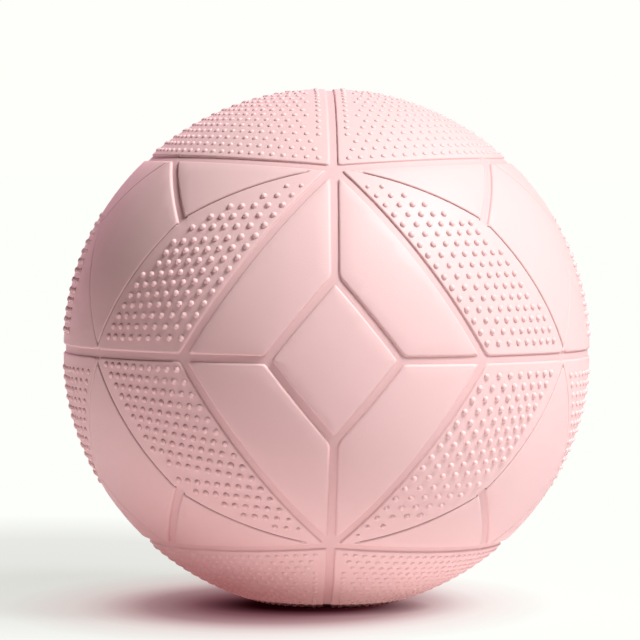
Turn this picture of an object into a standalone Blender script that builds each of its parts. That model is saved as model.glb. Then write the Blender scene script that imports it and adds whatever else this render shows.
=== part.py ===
"""Inflatable mini exercise ball, resting on a level floor.

The soft moulded skin is divided by channels into plain panels and recessed grip panels. Its valve
is moulded into the middle of the back diamond, and a push-in stopper closes the valve.
+Z is up, the front of the pattern faces -Y, and the origin is the middle of the floor patch.
"""

import math
from itertools import product

import bmesh
import bpy
from mathutils import Matrix, Vector
from mathutils.geometry import delaunay_2d_cdt

# Ball, in metres
BALL_DIAMETER = 0.230
HEIGHT_RATIO = 0.990
SKIN_WALL = 0.0012
FLOOR_PATCH_RADIUS = 0.021

# Channels between panels, thinner creases, and the step down to the grip panels
CHANNEL_WIDTH = 0.0042
CHANNEL_DEPTH = 0.0007
CREASE_WIDTH = 0.0024
CREASE_DEPTH = 0.0007
GRIP_RECESS = 0.0002

# Main dots of the grip panels, a few of the many that the real panels carry
DOT_RADIUS = 0.0015
DOT_HEIGHT = 0.0013
DOT_SPACING = 0.0160
DOT_MARGIN = 0.0040
DOT_SIDES = 6

# Corners of the pattern in degrees: longitude from the middle of the front, latitude from the equator
DIAMOND_LON = 14.2
DIAMOND_LAT = 17.5
STAR_LAT = 44.5
KITE_FOOT_LON = 33.7
KITE_BOW = 1.1
CAP_LAT = 47.0
CAP_DIP_LON = 60.0
LEAF_CORNER_LON = 40.2
LEAF_CORNER_LAT = 30.3
LEAF_FOOT_LON = 59.7
LEAF_FOOT_LAT = 1.8
BROW_LON = 58.6
CHEEK_LON = 77.6
CHEEK_LAT = 28.9
SIDE_PEAK_LAT = 35.0

# Valve in the back diamond
VALVE_NECK_RADIUS = 0.0060
VALVE_NECK_INSET = 0.0005
VALVE_FLANGE_RADIUS = 0.0130
VALVE_FLANGE_THICKNESS = 0.0016
VALVE_BARREL_RADIUS = 0.0050
VALVE_LENGTH = 0.0190
VALVE_FIT_GAP = 0.0004

# Stopper
PLUG_HEAD_RADIUS = 0.0042
PLUG_HEAD_HEIGHT = 0.0015
PLUG_HEAD_EDGE = 0.0005
PLUG_HEAD_INSET = 0.0004
PLUG_SHANK_RADIUS = 0.0019
PLUG_TIP_RADIUS = 0.0013
PLUG_SHANK_LENGTH = 0.0145
PLUG_RIB_HEIGHT = 0.0003
PLUG_RIB_WIDTH = 0.0018
PLUG_RIB_COUNT = 3
PLUG_FIT_GAP = 0.0003

# Fineness of the facets. The shares are of a groove's half width and of the panel step.
LINE_STEP = 0.0108
PANEL_STEP = 0.0140
VALVE_RING_STEP = 0.0054
CLOSEST_POINTS = 0.0008
RIM_SHARE = 0.9
PANEL_SHARE = 0.62
CORNER_SPOKES = 16
CORNER_REACHES = (1.0, 1.5, 2.0, 2.5)
TURNED_SIDES = 32
LINING_SIDES = 48
LINING_RINGS = 24
MERGE_DISTANCE = 1e-6
PLANE_TOLERANCE = 1e-6
SHARP_ANGLE = 12.0

# Finishes
SKIN_COLOUR = (0.80, 0.47, 0.46, 1.0)
SKIN_ROUGHNESS = 0.55
VALVE_COLOUR = (0.70, 0.38, 0.38, 1.0)
VALVE_ROUGHNESS = 0.5
PLUG_COLOUR = (0.86, 0.83, 0.80, 1.0)
PLUG_ROUGHNESS = 0.4

BALL_RADIUS = BALL_DIAMETER / 2
PATCH_ANGLE = math.asin(FLOOR_PATCH_RADIUS / BALL_RADIUS)
CENTRE_HEIGHT = BALL_RADIUS * HEIGHT_RATIO * math.cos(PATCH_ANGLE)


def direction(lon, lat):
    """Unit vector in the octant where x, y and z are positive, from angles in degrees."""
    lon, lat = math.radians(lon), math.radians(lat)
    return Vector((math.sin(lon) * math.cos(lat), math.cos(lon) * math.cos(lat), math.sin(lat)))


def angles(point):
    """Longitude and latitude of a direction, in degrees."""
    return math.degrees(math.atan2(point.x, point.y)), math.degrees(math.asin(min(1.0, point.z)))


def stations(length, step):
    """Evenly spaced fractions from 0 to 1 along a length, no further apart than the step."""
    count = max(1, math.ceil(length / step))
    return [i / count for i in range(count + 1)]


def straight(start, end, bow=0.0, step=LINE_STEP):
    """Points along the great circle from start to end, bowed sideways by an angle in degrees."""
    side = start.cross(end).normalized()
    points = []
    for t in stations(start.angle(end) * BALL_RADIUS, step):
        offset = math.tan(math.radians(bow)) * 4 * t * (1 - t)
        points.append((start.slerp(end, t) + side * offset).normalized())
    return points


def cap_latitude(lon):
    """Latitude of the edge of the cap, which dips towards the star on the front line."""
    return CAP_LAT - (CAP_LAT - STAR_LAT) * max(0.0, 1 - lon / CAP_DIP_LON) ** 2


def cap_edge():
    """Points along the edge of the cap in one octant."""
    length = BALL_RADIUS * math.cos(math.radians(CAP_LAT)) * math.pi / 2
    return [direction(90 * t, cap_latitude(90 * t)) for t in stations(length, LINE_STEP)]


def distance_to_line(point, line):
    """Shortest distance along the ball from a direction to a line of points."""
    best = math.inf
    for a, b in zip(line, line[1:]):
        along = b - a
        t = max(0.0, min(1.0, (point - a).dot(along) / along.length_squared))
        best = min(best, (point - a - along * t).length)
    return best * BALL_RADIUS


def inside(point, outline):
    """True if a direction lies inside a closed outline, both read as longitude and latitude."""
    x, y = angles(point)
    result = False
    corners = [angles(p) for p in outline]
    for (x0, y0), (x1, y1) in zip(corners, corners[1:] + corners[:1]):
        if (y0 > y) != (y1 > y) and x < x0 + (x1 - x0) * (y - y0) / (y1 - y0):
            result = not result
    return result


class Pattern:
    """The lines and panels of one octant of the ball."""

    def __init__(self):
        star = direction(0, STAR_LAT)
        kite_foot = direction(KITE_FOOT_LON, 0)
        leaf_corner = direction(LEAF_CORNER_LON, LEAF_CORNER_LAT)
        leaf_foot = direction(LEAF_FOOT_LON, LEAF_FOOT_LAT)
        brow = direction(BROW_LON, cap_latitude(BROW_LON))
        cheek = direction(CHEEK_LON, CHEEK_LAT)
        diamond_side = direction(DIAMOND_LON, 0)
        diamond_top = direction(0, DIAMOND_LAT)
        side_peak = direction(90, SIDE_PEAK_LAT)
        side_centre = direction(90, 0)

        kite_edge = straight(star, kite_foot, KITE_BOW)
        leaf_top = straight(star, leaf_corner)
        leaf_side = straight(leaf_corner, leaf_foot)
        side_edge = straight(leaf_foot, cheek) + straight(cheek, side_peak)[1:]
        self.channels = [
            straight(diamond_side, side_centre),
            straight(diamond_top, direction(0, 90)),
            straight(diamond_side, diamond_top),
            cap_edge(),
            kite_edge,
            straight(brow, leaf_corner),
        ]
        self.creases = [leaf_top, leaf_side, straight(brow, cheek), side_edge]
        below_foot = direction(LEAF_FOOT_LON, 0)
        leaf = leaf_top + leaf_side[1:] + [below_foot] + kite_edge[::-1]
        side = side_edge + [side_centre, below_foot]
        self.grip_panels = [leaf, side]
        self.dots = list(self.grip_dots())

    def grooves(self):
        """Each line with the half width and depth of its groove."""
        for line in self.channels:
            yield line, CHANNEL_WIDTH / 2, CHANNEL_DEPTH
        for line in self.creases:
            yield line, CREASE_WIDTH / 2, CREASE_DEPTH

    def on_grip(self, point):
        """True on the panels that carry the grip dots."""
        lon, lat = angles(point)
        return lat > cap_latitude(lon) or any(inside(point, panel) for panel in self.grip_panels)

    def grip_dots(self):
        """Middles of the dots, in rows that start half a space from the mirror planes.

        A dot keeps clear of the grooves, and of the floor in the lower half.
        """
        for row in range(int(math.pi / 2 * BALL_RADIUS / DOT_SPACING)):
            lat = math.degrees((row + 0.5) * DOT_SPACING / BALL_RADIUS)
            space = math.degrees(DOT_SPACING / (BALL_RADIUS * math.cos(math.radians(lat))))
            tip_height = (BALL_RADIUS + DOT_HEIGHT) * math.sin(math.radians(lat)) * HEIGHT_RATIO
            for column in range(int(90 / space)):
                point = direction(90 - space * (column + 0.5), lat)
                clear = all(
                    distance_to_line(point, line) > half_width + DOT_MARGIN
                    for line, half_width, _ in self.grooves()
                )
                if clear and self.on_grip(point) and tip_height < CENTRE_HEIGHT:
                    yield point

    def on_dot_tip(self, point):
        """True at the middle of a dot."""
        return any((point - dot).length * BALL_RADIUS < CLOSEST_POINTS / 2 for dot in self.dots)

    def depth(self, point):
        """How far the surface lies below the plain panels in a direction."""
        if self.on_dot_tip(point):
            return GRIP_RECESS - DOT_HEIGHT
        depths = [GRIP_RECESS if self.on_grip(point) else 0.0]
        for line, half_width, depth in self.grooves():
            share = 1 - distance_to_line(point, line) / half_width
            depths.append(depth * max(0.0, share))
        return max(depths)


class PointSet:
    """Directions in one octant that keep their distance from each other."""

    def __init__(self):
        self.points = []

    def add(self, point, spacing=CLOSEST_POINTS):
        """Keep a point unless another one, or a mirror plane it isn't on, is too close."""
        close = spacing / BALL_RADIUS
        for value in point:
            if value < -PLANE_TOLERANCE or PLANE_TOLERANCE < value < close / 2:
                return
        point = Vector([0.0 if value < PLANE_TOLERANCE else value for value in point])
        if all((point - other).length >= close for other in self.points):
            self.points.append(point)


def groove_rims(line, half_width):
    """Points along both rims of a groove."""
    spread = half_width / BALL_RADIUS
    for before, point, after in zip(line[:1] + line, line, line[1:] + line[-1:]):
        across = (after - before).cross(point).normalized() * spread
        yield (point + across).normalized()
        yield (point - across).normalized()


def corner_rims(corner, half_width, clear):
    """Points round the end of a groove, each at the first distance that is clear of every groove.

    The spokes are turned to run along a mirror plane where the corner lies on one.
    """
    thinnest = min(range(3), key=lambda axis: abs(corner[axis]))
    across = Vector([float(axis == thinnest) for axis in range(3)])
    across = (across - corner * corner[thinnest]).normalized()
    up = corner.cross(across)
    for spoke in range(CORNER_SPOKES):
        turn = math.tau * spoke / CORNER_SPOKES
        outward = across * math.cos(turn) + up * math.sin(turn)
        for reach in CORNER_REACHES:
            point = (corner + outward * (reach * half_width / BALL_RADIUS)).normalized()
            if clear(point):
                yield point
                break


def dot_foot(dot):
    """Points round the foot of a dot."""
    across = dot.orthogonal().normalized()
    up = dot.cross(across)
    for side in range(DOT_SIDES):
        turn = math.tau * side / DOT_SIDES
        outward = across * math.cos(turn) + up * math.sin(turn)
        yield (dot + outward * (DOT_RADIUS / BALL_RADIUS)).normalized()


def valve_ring(radius):
    """Points on a circle round the valve axis, which keep the skin round where the valve seats."""
    tilt = radius / BALL_RADIUS
    for t in stations(radius * math.pi / 2, VALVE_RING_STEP):
        turn = math.pi / 2 * t
        yield Vector((math.sin(tilt) * math.cos(turn), math.cos(tilt), math.sin(tilt) * math.sin(turn)))


def octant_points(pattern):
    """Directions that the facets of one octant join: groove bottoms, rims, dots, then panel points."""
    grooves = list(pattern.grooves())

    def clear(point):
        return all(distance_to_line(point, line) > reach * RIM_SHARE for line, reach, _ in grooves)

    chosen = PointSet()
    pole = direction(0, 90)
    for corner in (direction(0, 0), direction(90, 0), pole):
        chosen.add(corner)
    for line, _, _ in grooves:
        for point in line:
            chosen.add(point)
    for point in straight(direction(90, 0), pole, step=PANEL_STEP):
        chosen.add(point)
    for t in stations(FLOOR_PATCH_RADIUS * math.pi / 2, LINE_STEP):
        chosen.add(direction(90 * t, 90 - math.degrees(PATCH_ANGLE)))
    for radius in (VALVE_NECK_RADIUS, VALVE_FLANGE_RADIUS):
        for point in valve_ring(radius):
            chosen.add(point)
    for line, half_width, _ in grooves:
        for point in groove_rims(line, half_width):
            if clear(point):
                chosen.add(point)
    for line, half_width, _ in grooves:
        for corner in (line[0], line[-1]):
            for point in corner_rims(corner, half_width, clear):
                chosen.add(point, half_width * RIM_SHARE)
    for dot in pattern.dots:
        chosen.add(dot)
        for point in dot_foot(dot):
            chosen.add(point)
    for row in stations(BALL_RADIUS * math.pi / 2, PANEL_STEP):
        lat = 90 * row
        ring = BALL_RADIUS * math.cos(math.radians(lat)) * math.pi / 2
        for column in stations(ring, PANEL_STEP):
            chosen.add(direction(90 * column, lat), PANEL_STEP * PANEL_SHARE)
    return chosen.points


def octant_triangles(points):
    """Triangles between directions, found in a flat map that keeps circles round."""
    middle = Vector((1, 1, 1)).normalized()
    across = middle.orthogonal().normalized()
    up = middle.cross(across)
    flat = [Vector((p.dot(across), p.dot(up))) / (1 + p.dot(middle)) for p in points]
    faces = delaunay_2d_cdt(flat, [], [], 0, MERGE_DISTANCE)[2]
    result = []
    for a, b, c in faces:
        outward = (points[b] - points[a]).cross(points[c] - points[a]).dot(points[a])
        result.append((a, b, c) if outward > 0 else (a, c, b))
    return result


def skin_mesh():
    """Outer surface of the whole skin, with the octant mirrored eight times and the floor patch flat."""
    pattern = Pattern()
    points = octant_points(pattern)
    triangles = octant_triangles(points)
    surface = [p * (BALL_RADIUS - pattern.depth(p)) for p in points]
    bm = bmesh.new()
    for x, y, z in product((1, -1), repeat=3):
        corners = [bm.verts.new((x * p.x, y * p.y, z * p.z * HEIGHT_RATIO)) for p in surface]
        for triangle in triangles:
            order = triangle if x * y * z > 0 else triangle[::-1]
            bm.faces.new([corners[i] for i in order])
    bmesh.ops.remove_doubles(bm, verts=bm.verts, dist=MERGE_DISTANCE)
    for vert in bm.verts:
        vert.co.z = max(vert.co.z, -CENTRE_HEIGHT)
    mesh = bpy.data.meshes.new("ball_skin")
    bm.to_mesh(mesh)
    bm.free()
    return mesh


def lining_mesh():
    """Smooth inside of the skin, with its poles on the valve's axis and its floor flat."""
    bm = bmesh.new()
    bmesh.ops.create_uvsphere(
        bm,
        u_segments=LINING_SIDES,
        v_segments=LINING_RINGS,
        radius=BALL_RADIUS - SKIN_WALL,
        matrix=Matrix.Rotation(math.pi / 2, 4, "X"),
    )
    for vert in bm.verts:
        vert.co.z = max(vert.co.z * HEIGHT_RATIO, SKIN_WALL - CENTRE_HEIGHT)
    bmesh.ops.triangulate(bm, faces=bm.faces)
    mesh = bpy.data.meshes.new("skin_inside")
    bm.to_mesh(mesh)
    bm.free()
    return mesh


def turned_mesh(name, profile, closed):
    """Mesh turned about Z from (radius, height) points that run down the outer side."""
    bm = bmesh.new()
    verts = [bm.verts.new((radius, 0, height)) for radius, height in profile]
    pairs = list(zip(verts, verts[1:]))
    if closed:
        pairs.append((verts[-1], verts[0]))
    edges = [bm.edges.new(pair) for pair in pairs]
    bmesh.ops.spin(
        bm,
        geom=verts + edges,
        axis=(0, 0, 1),
        angle=math.tau,
        steps=TURNED_SIDES,
        use_merge=True,
    )
    bmesh.ops.remove_doubles(bm, verts=bm.verts, dist=MERGE_DISTANCE)
    bmesh.ops.recalc_face_normals(bm, faces=bm.faces)
    mesh = bpy.data.meshes.new(name)
    bm.to_mesh(mesh)
    bm.free()
    return mesh


def valve_profile():
    """Outline of the valve insert: heights are measured from the ball's outer surface."""
    seat_radius = BALL_RADIUS - SKIN_WALL - VALVE_FIT_GAP

    def seat(radius):
        return math.sqrt(seat_radius ** 2 - radius ** 2) - BALL_RADIUS

    flange_inner = seat(VALVE_FLANGE_RADIUS) - VALVE_FLANGE_THICKNESS
    top = -VALVE_NECK_INSET
    recess_radius = PLUG_HEAD_RADIUS + PLUG_FIT_GAP
    recess_floor = -PLUG_HEAD_INSET - PLUG_HEAD_HEIGHT - PLUG_FIT_GAP
    bore_radius = PLUG_SHANK_RADIUS + PLUG_RIB_HEIGHT + PLUG_FIT_GAP
    middle_radius = (VALVE_NECK_RADIUS + VALVE_FLANGE_RADIUS) / 2
    return [
        (recess_radius, top),
        (VALVE_NECK_RADIUS, top),
        (VALVE_NECK_RADIUS, seat(VALVE_NECK_RADIUS)),
        (middle_radius, seat(middle_radius)),
        (VALVE_FLANGE_RADIUS, seat(VALVE_FLANGE_RADIUS)),
        (VALVE_FLANGE_RADIUS, flange_inner),
        (VALVE_BARREL_RADIUS, flange_inner - VALVE_FLANGE_THICKNESS),
        (VALVE_BARREL_RADIUS, -VALVE_LENGTH),
        (bore_radius, -VALVE_LENGTH),
        (bore_radius, recess_floor),
        (recess_radius, recess_floor),
    ]


def plug_profile():
    """Outline of the stopper from the top of its head to its tip, with its ribs."""
    top = -PLUG_HEAD_INSET
    under_head = top - PLUG_HEAD_HEIGHT
    points = [
        (0, top),
        (PLUG_HEAD_RADIUS - 2 * PLUG_HEAD_EDGE, top),
        (PLUG_HEAD_RADIUS, top - PLUG_HEAD_EDGE),
        (PLUG_HEAD_RADIUS, under_head),
        (PLUG_SHANK_RADIUS, under_head),
    ]
    pitch = PLUG_SHANK_LENGTH / (PLUG_RIB_COUNT + 1)
    for rib in range(PLUG_RIB_COUNT):
        height = under_head - pitch * (rib + 0.5)
        points.append((PLUG_SHANK_RADIUS, height + PLUG_RIB_WIDTH / 2))
        points.append((PLUG_SHANK_RADIUS + PLUG_RIB_HEIGHT, height))
        points.append((PLUG_SHANK_RADIUS, height - PLUG_RIB_WIDTH / 2))
    tip = under_head - PLUG_SHANK_LENGTH
    return points + [(PLUG_TIP_RADIUS, tip), (0, tip)]


def material(name, colour, roughness):
    """Plain material of one sub-part."""
    made = bpy.data.materials.new(name)
    made.use_nodes = True
    shader = made.node_tree.nodes["Principled BSDF"]
    shader.inputs["Base Color"].default_value = colour
    shader.inputs["Roughness"].default_value = roughness
    shader.inputs["Metallic"].default_value = 0.0
    return made


def add_object(name, mesh, finish, parent):
    """One sub-part, shaded smooth up to the edges of its grooves."""
    made = bpy.data.objects.new(name, mesh)
    bpy.context.scene.collection.objects.link(made)
    made.parent = parent
    if finish:
        mesh.materials.append(finish)
    mesh.shade_smooth()
    mesh.set_sharp_from_angle(angle=math.radians(SHARP_ANGLE))
    return made


def cut_away(piece, cutter):
    """Cut one object's shape out of another, and keep the cutter as a guide."""
    cutter.hide_render = True
    cutter.display_type = "WIRE"
    cut = piece.modifiers.new(cutter.name, "BOOLEAN")
    cut.operation = "DIFFERENCE"
    cut.object = cutter


def add_empty(name, parent=None):
    """A frame that pieces are placed in."""
    made = bpy.data.objects.new(name, None)
    bpy.context.scene.collection.objects.link(made)
    made.parent = parent
    return made


def build():
    """Make the skin, the valve insert and the stopper."""
    for old in list(bpy.data.objects):
        bpy.data.objects.remove(old)

    centre = add_empty("ball_centre")
    centre.location.z = CENTRE_HEIGHT
    valve_axis = add_empty("valve_axis", centre)
    valve_axis.location.y = BALL_RADIUS
    valve_axis.rotation_euler.x = math.radians(-90)

    pink = material("skin_pvc", SKIN_COLOUR, SKIN_ROUGHNESS)
    skin = add_object("ball_skin", skin_mesh(), pink, centre)
    cut_away(skin, add_object("skin_inside", lining_mesh(), None, centre))

    radius = VALVE_NECK_RADIUS + VALVE_FIT_GAP
    reach = VALVE_LENGTH
    bore = turned_mesh(
        "valve_bore", [(0, reach), (radius, reach), (radius, -reach), (0, -reach)], closed=False
    )
    cut_away(skin, add_object("valve_bore", bore, None, valve_axis))

    insert = turned_mesh("valve_insert", valve_profile(), closed=True)
    add_object("valve_insert", insert, material("valve_pvc", VALVE_COLOUR, VALVE_ROUGHNESS), valve_axis)

    plug = turned_mesh("stopper_plug", plug_profile(), closed=False)
    add_object("stopper_plug", plug, material("plug_plastic", PLUG_COLOUR, PLUG_ROUGHNESS), valve_axis)


build()
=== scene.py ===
"""Looks of a soft mini pilates ball: moulded skin, grip dots, valve insert and stopper on a pale floor.

The ball rests on the origin with +Z up. The front of its pattern faces -Y and the valve faces +Y.
The pattern is worked out over one octant, where x, y and z are positive, and mirrored.
"""

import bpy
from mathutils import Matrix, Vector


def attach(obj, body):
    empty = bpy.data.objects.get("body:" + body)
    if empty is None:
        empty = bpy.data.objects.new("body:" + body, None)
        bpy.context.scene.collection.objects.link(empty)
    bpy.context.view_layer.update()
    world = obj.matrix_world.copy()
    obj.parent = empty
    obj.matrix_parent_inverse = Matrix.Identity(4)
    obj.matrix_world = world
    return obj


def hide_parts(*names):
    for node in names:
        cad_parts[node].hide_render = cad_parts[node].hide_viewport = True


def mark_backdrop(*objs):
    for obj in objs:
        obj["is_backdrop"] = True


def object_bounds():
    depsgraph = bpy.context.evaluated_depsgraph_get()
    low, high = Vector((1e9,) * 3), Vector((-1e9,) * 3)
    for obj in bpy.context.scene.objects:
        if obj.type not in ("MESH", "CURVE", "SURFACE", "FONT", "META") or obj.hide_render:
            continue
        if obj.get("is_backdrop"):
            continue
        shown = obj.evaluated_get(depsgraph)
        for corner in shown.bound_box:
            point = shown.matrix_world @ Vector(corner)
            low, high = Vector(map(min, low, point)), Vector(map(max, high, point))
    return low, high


bl_info = {
    "name": "Mini pilates ball",
    "version": (1, 0, 0),
    "blender": (4, 5, 0),
    "location": "3D View > Sidebar > Pilates ball",
    "description": "Makes the skin, grip dots, valve and stopper of a soft mini pilates ball",
    "category": "Object",
}

import math
from itertools import product

import bmesh
import bpy
import numpy as np
from bpy.props import FloatProperty, FloatVectorProperty, IntProperty, PointerProperty
from mathutils import Quaternion, Vector
from mathutils.geometry import delaunay_2d_cdt

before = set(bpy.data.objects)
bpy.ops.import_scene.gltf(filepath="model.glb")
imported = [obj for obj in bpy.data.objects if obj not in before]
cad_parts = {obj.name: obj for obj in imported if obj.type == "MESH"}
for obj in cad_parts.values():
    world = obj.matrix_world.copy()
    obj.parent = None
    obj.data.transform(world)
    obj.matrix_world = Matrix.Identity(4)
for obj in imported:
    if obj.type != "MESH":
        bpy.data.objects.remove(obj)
CAD_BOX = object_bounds()
OCTANTS = tuple(product((1, -1), repeat=3))  # signs of x, y and z

# Fineness of the skin's mesh, in metres
LINE_STEP = 0.0025  # along the lines that the pattern is measured from
FACE_STEP = 0.0026  # along grooves and over panels
END_STEP = 0.0008  # along a groove near its ends
END_REACH = 0.006  # how far from its ends that goes
PLANE_END_STEP = 0.0009  # the same two along the mirror planes
PLANE_END_REACH = 0.004
CROSSING_STEP = 0.0002  # along the mirror planes where they cross a groove
CLOSEST_POINTS = 0.00008  # least distance between two points
POINT_CELL = 0.001  # cells in which close points are found
WELD_DISTANCE = 2e-6  # joins the mirrored octants

# Rows of points along a groove and round the valve hole, as shares
FLOOR_ROWS = (0, 0.45)  # of a channel's half width
RIM_ROWS = (-0.12, 0, 0.1, 0.25, 0.5, 1.0)  # of a channel's rim, out from its wall
CREASE_ROWS = (0, 0.5, 1)  # of a crease's half width
ROLL_ROWS = (0.65, 1, 1.4)  # of the rolled edge beside a crease
HOLE_ROWS = (0, 0.5, 1)  # of the valve hole's rounded rim

# Other shares of a groove
RIM_REACH = 0.7  # of a rim, to each side of its middle, where a mirror plane counts as crossing it
CREASE_SPACING = 1.5  # least distance between points beside a crease, of that elsewhere
FADE_START = 0.5  # how far from the star a crease starts to fade in, of its fade

# How points beside a channel are moved to its wall
SETTLE_ROUNDS = 4
SETTLE_STEP = 0.0008  # longest move in a round, in metres
SETTLE_GAP = 0.00004  # points that stay further off are dropped
LEAST_LEAN = 0.2  # keeps the moves short where channels meet

# Counts of points, rings and sides
CAP_EDGE_POINTS = 60  # along the edge of a cap in an octant
EDGE_POINTS = 1400  # along an edge of an octant, before they are thinned out
HOLE_POINTS = 13  # round a quarter of the valve hole
PATCH_POINTS = 28  # round a quarter of the floor patch
PANEL_ROWS = 45  # over the panels of an octant
LINING_RINGS = 30
TURNED_SIDES = 64
CORNER_STEPS = 3
SHARP_ANGLE = math.radians(40)  # edges of the turned pieces that stay sharp

# Rows of dots on the leaf panels, by the signs of x and z: latitude of the first row and step between
# rows in degrees, number of rows, slope of a row away from the kite, and the distances between
# dots next to the kite and far from it in metres
LEAF_ROWS = {
    (1, 1): (3.5, 2.38, 17, 0.03, 0.0062, 0.0049),
    (1, -1): (3.5, 2.50, 16, -0.06, 0.0067, 0.0047),
    (-1, 1): (4.1, 2.52, 16, -0.085, 0.0062, 0.0051),
    (-1, -1): (2.6, 2.62, 16, -0.14, 0.0051, 0.0047),
}
LEAF_ROW_END = 62  # degrees round, past the leaf's foot
FULL_SLOPE_LAT = 20  # degrees up, where a leaf's rows reach their full slope
HALF_SLOPE_LAT = 28  # degrees up, from which they have half of it
TIP_HOLD = 0.4  # how long a leaf's dots stay small before they grow with the distance from its tip
TIP_ROOM = 0.4  # share of the gap from a crease that doesn't shrink with a leaf's dots
SIDE_ROWS = 16
SIDE_TAPER = 0.35  # how much further round the upper side panels' rows start, for each angle up
SIDE_TAPER_LAT = 18  # degrees up, above which they do
CAP_FOLLOW_ROWS = 8  # rows of a cap that follow its edge, less and less
CAP_COLUMN_ROW = 3  # first row of a cap with a dot in the straight column
CAP_START = 0.0003  # metres from that column to the first of the other dots, in the first row
CAP_WIDEST_START = 1.75  # the most that it grows to in later rows, in pitches
CAP_ROW_SHARE = 0.97  # share of a row's radius within which the other dots start
LEAF_SCAN = 1200  # points in which a leaf's row is searched for its start
SIDE_SCAN = 600  # the same for a side panel's row
LEAST_TIP_HEIGHT = 0.0001  # metres above the floor, for the tip of a dot
DOT_SIZES = (0.95, 1.05)  # least and greatest size of a dot, of its plain size
DOT_SEED = 7

# Moulded plastic, with painted shade in its channels and creases
# Painted shade in the channels, between these shares of their depth
CHANNEL_SHADE_MARK = (0.1, 1.0)  # shares of the depth between which a channel takes its colour
# Painted shade at the bottom of the creases, between these shares of their depth
CREASE_SHADE_MARK = (0.3, 0.8)
NOISE_RANGE = (0.3, 0.7)  # where most values of a noise lie
ROUGHNESS_SPREAD = (-0.05, 0.07)  # about the middle value
MOTTLE_SCALE = 22.0
MOTTLE_DETAIL = 3.0
MOTTLE_SHADE = 0.7  # brightness of the mottled spots, of the plain colour
GRAIN_DETAIL = 2.0
PLASTIC_IOR = 1.48
PLASTIC_SPECULAR = 0.32

# Places of the sockets for colours on a Mix node, and for plain numbers on a Random Value node
MIX_FACTOR, MIX_A, MIX_B, MIX_RESULT = 0, 6, 7, 2
RANDOM_LEAST, RANDOM_MOST, RANDOM_RESULT = 2, 3, 1

# Soft oval shades on the floor: middle and reach in metres, turn in degrees, colours from the middle out
FLOOR_SHADES = (
    (
        (-0.019, 0.0),
        (0.125, 0.185),
        -9,
        (
            (0.00, (0.03, 0.003, 0.005)),
            (0.125, (0.083, 0.018, 0.024)),
            (0.29, (0.25, 0.10, 0.126)),
            (0.46, (0.50, 0.30, 0.33)),
            (0.54, (0.70, 0.50, 0.53)),
            (0.625, (0.85, 0.71, 0.73)),
            (0.71, (0.935, 0.84, 0.85)),
            (0.96, (1.0, 1.0, 1.0)),
        ),
    ),
    (
        (-0.005, -0.005),
        (0.052, 0.050),
        0,
        ((0.00, (0.06, 0.02, 0.03)), (0.50, (0.18, 0.06, 0.08)), (1.00, (1.0, 1.0, 1.0))),
    ),
    (
        (-0.12, 0.14),
        (0.187, 0.355),
        2,
        ((0.00, (0.79, 0.785, 0.78)), (0.55, (0.82, 0.815, 0.81)), (1.00, (1.0, 1.0, 1.0))),
    ),
)

# Soft lamps on the floor that light the ball from below: name, middle and width in metres, brightness, tint
BOUNCES = (
    ("bounce_right", (0.16, -0.15), 0.20, 0.55, (0.45, 1.0, 0.97)),
    ("bounce_left", (-0.22, 0.02), 0.20, 0.66, (1.0, 0.95, 0.97)),
)
FLOOR_RADIUS = 30.0
CARD_RADIUS = 0.30
CARD_LIFT = 0.003  # height of the card and the lamps above the floor
# Dim part of the card on the ball's shaded side, laid out as the floor's shades are
CARD_SHADE = ((-0.065, -0.035), (0.085, 0.085), 0, ((0.25, (0.62, 0.36, 0.38)), (1.0, (1.0, 1.0, 1.0))))
DISC_SIDES = 64
SENSOR_WIDTH = 36  # millimetres


def length(name, description, default):
    """A size in metres."""
    return FloatProperty(name=name, description=description, default=default, unit="LENGTH", precision=5)


def angle(name, description, degrees):
    """An angle, with its default in degrees."""
    return FloatProperty(name=name, description=description, default=math.radians(degrees), subtype="ANGLE")


def number(name, description, default):
    """A plain number."""
    return FloatProperty(name=name, description=description, default=default)


def brightness(name, description, default):
    """The strength of a light."""
    return FloatProperty(name=name, description=description, default=default, min=0)


def share(name, description, default):
    """A share from 0 to 1."""
    return FloatProperty(
        name=name, description=description, default=default, min=0, max=1, subtype="FACTOR"
    )


def colour(name, description, default):
    """A linear colour."""
    return FloatVectorProperty(
        name=name, description=description, default=default, size=3, min=0, max=1, subtype="COLOR"
    )


class BallShape(bpy.types.PropertyGroup):
    """Overall sizes of the ball"""

    diameter: length("Diameter", "Width of the ball over its plain panels", 0.230)
    height_ratio: share("Height ratio", "How much the soft ball is flattened under its weight", 0.990)
    patch_radius: length("Patch radius", "Radius of the flat patch that rests on the floor", 0.021)
    inner_depth: length("Inner depth", "Depth of the smooth inside below the plain panels", 0.0016)


class BallPattern(bpy.types.PropertyGroup):
    """Corners of the moulded pattern, as angles round from the front and up from the equator"""

    diamond_lon: angle("Diamond half width", "Side corner of the front diamond", 14.2)
    diamond_lat: angle("Diamond half height", "Top corner of the front diamond", 17.5)
    star_lat: angle("Star", "Where the kite, the leaves and the cap meet", 44.5)
    kite_lon: angle("Kite foot", "Side corner of the kite", 33.7)
    kite_bow: angle("Kite bow", "Outward bow of the kite's edge", 1.1)
    cap_lat: angle("Cap", "Edge of the cap", 47.0)
    cap_dip_lon: angle("Cap dip", "Where the edge of the cap starts to dip to the star", 60.0)
    leaf_lon: angle("Leaf corner round", "Upper corner of the leaf", 40.2)
    leaf_lat: angle("Leaf corner up", "Upper corner of the leaf", 30.3)
    leaf_foot_lon: angle("Leaf foot round", "Lower corner of the leaf", 59.7)
    leaf_foot_lat: angle("Leaf foot up", "Lower corner of the leaf", 1.8)
    brow_lon: angle("Brow", "Where the slanted channel leaves the cap", 58.6)
    cheek_lon: angle("Cheek round", "Upper corner of the side panel", 77.6)
    cheek_lat: angle("Cheek up", "Upper corner of the side panel", 28.9)
    side_peak_lat: angle("Side peak", "Middle of the side panel's upper edge", 35.0)


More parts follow.
